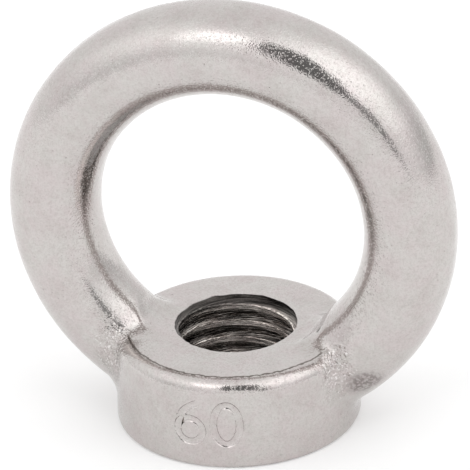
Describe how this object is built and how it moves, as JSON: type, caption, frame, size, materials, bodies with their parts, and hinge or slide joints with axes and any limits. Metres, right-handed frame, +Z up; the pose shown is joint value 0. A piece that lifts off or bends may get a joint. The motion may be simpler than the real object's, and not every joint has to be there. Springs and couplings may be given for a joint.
{
  "type": "lifting eye nut",
  "caption": "Forged lifting eye nut: a round ring standing on a low round collar with a tapped hole up its middle, for screwing onto a stud and taking a hook or shackle.",
  "frame": {"origin": "on the thread's axis, in the seating face", "axes": "+Z up the thread's axis towards the ring, +X across the ring's width, +Y along the ring's own axis, away from the marked front"},
  "size_m": [0.06, 0.0328, 0.0585],
  "materials": {
    "tumbled_steel": "tumbled satin stainless steel, lightly mottled"
  },
  "bodies": {
    "root": {"eye_nut": "tumbled_steel"}
  },
  "joints": []
}
